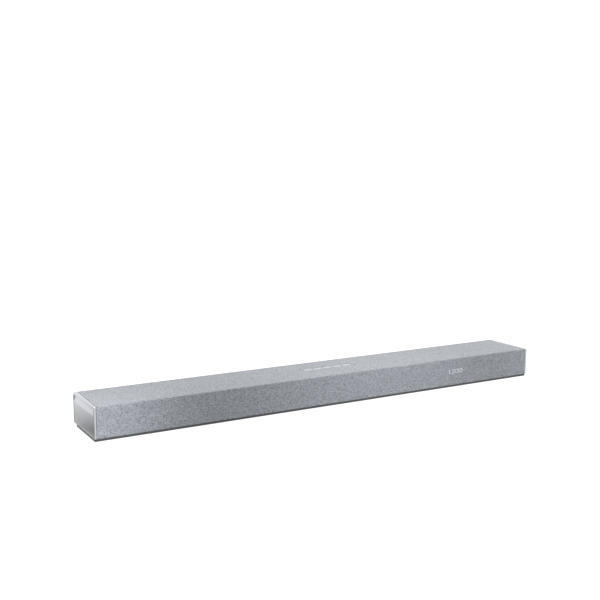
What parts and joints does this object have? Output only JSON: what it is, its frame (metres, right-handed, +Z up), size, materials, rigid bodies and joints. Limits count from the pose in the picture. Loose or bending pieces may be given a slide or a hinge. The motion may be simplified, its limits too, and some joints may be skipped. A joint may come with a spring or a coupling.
{
  "type": "soundbar",
  "caption": "Slim fabric-wrapped soundbar with satin metal end caps, a control strip on the top, a display behind the cloth and recessed rear sockets.",
  "frame": {"origin": "centre of the footprint, on the surface that the feet rest on", "axes": "+X along the bar, to the right as seen from the front; the front faces -Y; +Z up"},
  "size_m": [1.045, 0.125, 0.065],
  "materials": {
    "cloth": "woven grey melange",
    "satin_metal": "satin anodised",
    "plinth_plastic": "fine matte moulding",
    "rear_plastic": "fine spark texture",
    "black_plastic": "matte moulding",
    "strip_plastic": "satin light grey",
    "key_plastic": "satin light grey",
    "black_rubber": "matte",
    "screw_steel": "zinc plated",
    "insert_brass": "turned",
    "circuit_board": "solder mask",
    "smoked_lens": "polished smoked",
    "transformer_iron": "varnished laminations",
    "capacitor_sleeve": "shrink sleeve",
    "sink_aluminium": "extruded",
    "shield_steel": "tinned",
    "socket_plastic": "moulded",
    "basket_steel": "black coated",
    "magnet_steel": "zinc plated",
    "cone_paper": "pressed fibre",
    "dome_silk": "coated textile"
  },
  "bodies": {
    "enclosure": {"fabric_wrap": "cloth", "grille_frame": "black_plastic", "cabinet_shell": "black_plastic", "rear_cover": "rear_plastic", "base_plinth": "plinth_plastic", "rubber_feet": "black_rubber", "chassis_screws": "screw_steel", "wall_mount_inserts": "insert_brass", "end_cap_left": "satin_metal", "end_cap_right": "satin_metal", "end_plate_left": "satin_metal", "end_plate_right": "satin_metal", "end_cap_screws": "screw_steel", "control_bezel": "strip_plastic", "control_board": "circuit_board", "tact_switches": "socket_plastic", "display_window": "smoked_lens", "display_board": "circuit_board", "ir_receiver": "smoked_lens", "main_board": "circuit_board", "power_board": "circuit_board", "board_screws": "screw_steel", "supply_transformer": "transformer_iron", "supply_capacitors": "capacitor_sleeve", "heat_sink": "sink_aluminium", "wireless_module": "shield_steel", "io_panel": "rear_plastic", "mains_inlet": "socket_plastic", "av_sockets": "shield_steel", "optical_socket": "socket_plastic", "usb_socket": "shield_steel", "basket_left": "basket_steel", "motor_left": "magnet_steel", "surround_left": "black_rubber", "basket_centre": "basket_steel", "motor_centre": "magnet_steel", "surround_centre": "black_rubber", "basket_right": "basket_steel", "motor_right": "magnet_steel", "surround_right": "black_rubber", "height_basket_left": "basket_steel", "height_motor_left": "magnet_steel", "height_surround_left": "black_rubber", "tweeter_body_left": "socket_plastic", "height_basket_right": "basket_steel", "height_motor_right": "magnet_steel", "height_surround_right": "black_rubber", "tweeter_body_right": "socket_plastic"},
    "key_power": {"button_power": "key_plastic"},
    "key_source": {"button_source": "key_plastic"},
    "key_volume_down": {"button_volume_down": "key_plastic"},
    "key_volume_up": {"button_volume_up": "key_plastic"},
    "key_mute": {"button_mute": "key_plastic"},
    "piston_left": {"cone_left": "cone_paper"},
    "piston_centre": {"cone_centre": "cone_paper"},
    "piston_right": {"cone_right": "cone_paper"},
    "height_piston_left": {"height_cone_left": "cone_paper"},
    "height_piston_right": {"height_cone_right": "cone_paper"},
    "dome_left": {"tweeter_dome_left": "dome_silk"},
    "dome_right": {"tweeter_dome_right": "dome_silk"}
  },
  "joints": [
    {"name": "press_power", "type": "slide", "parent": "enclosure", "child": "key_power", "axis": [0, 0, -1], "range_m": [0, 0.0006], "stiffness_N_per_m": 2700},
    {"name": "press_source", "type": "slide", "parent": "enclosure", "child": "key_source", "axis": [0, 0, -1], "range_m": [0, 0.0006], "stiffness_N_per_m": 2700},
    {"name": "press_volume_down", "type": "slide", "parent": "enclosure", "child": "key_volume_down", "axis": [0, 0, -1], "range_m": [0, 0.0006], "stiffness_N_per_m": 2700},
    {"name": "press_volume_up", "type": "slide", "parent": "enclosure", "child": "key_volume_up", "axis": [0, 0, -1], "range_m": [0, 0.0006], "stiffness_N_per_m": 2700},
    {"name": "press_mute", "type": "slide", "parent": "enclosure", "child": "key_mute", "axis": [0, 0, -1], "range_m": [0, 0.0006], "stiffness_N_per_m": 2700},
    {"name": "stroke_left", "type": "slide", "parent": "enclosure", "child": "piston_left", "axis": [0, -1, 0], "range_m": [-0.002, 0.002], "stiffness_N_per_m": 1500, "deforming": ["surround_left"]},
    {"name": "stroke_centre", "type": "slide", "parent": "enclosure", "child": "piston_centre", "axis": [0, -1, 0], "range_m": [-0.002, 0.002], "stiffness_N_per_m": 1500, "deforming": ["surround_centre"]},
    {"name": "stroke_right", "type": "slide", "parent": "enclosure", "child": "piston_right", "axis": [0, -1, 0], "range_m": [-0.002, 0.002], "stiffness_N_per_m": 1500, "deforming": ["surround_right"]},
    {"name": "height_stroke_left", "type": "slide", "parent": "enclosure", "child": "height_piston_left", "axis": [0, 0, 1], "range_m": [-0.002, 0.002], "stiffness_N_per_m": 1500, "deforming": ["height_surround_left"]},
    {"name": "height_stroke_right", "type": "slide", "parent": "enclosure", "child": "height_piston_right", "axis": [0, 0, 1], "range_m": [-0.002, 0.002], "stiffness_N_per_m": 1500, "deforming": ["height_surround_right"]},
    {"name": "dome_stroke_left", "type": "slide", "parent": "enclosure", "child": "dome_left", "axis": [0, -1, 0], "range_m": [-0.0003, 0.0003], "stiffness_N_per_m": 2000},
    {"name": "dome_stroke_right", "type": "slide", "parent": "enclosure", "child": "dome_right", "axis": [0, -1, 0], "range_m": [-0.0003, 0.0003], "stiffness_N_per_m": 2000}
  ]
}
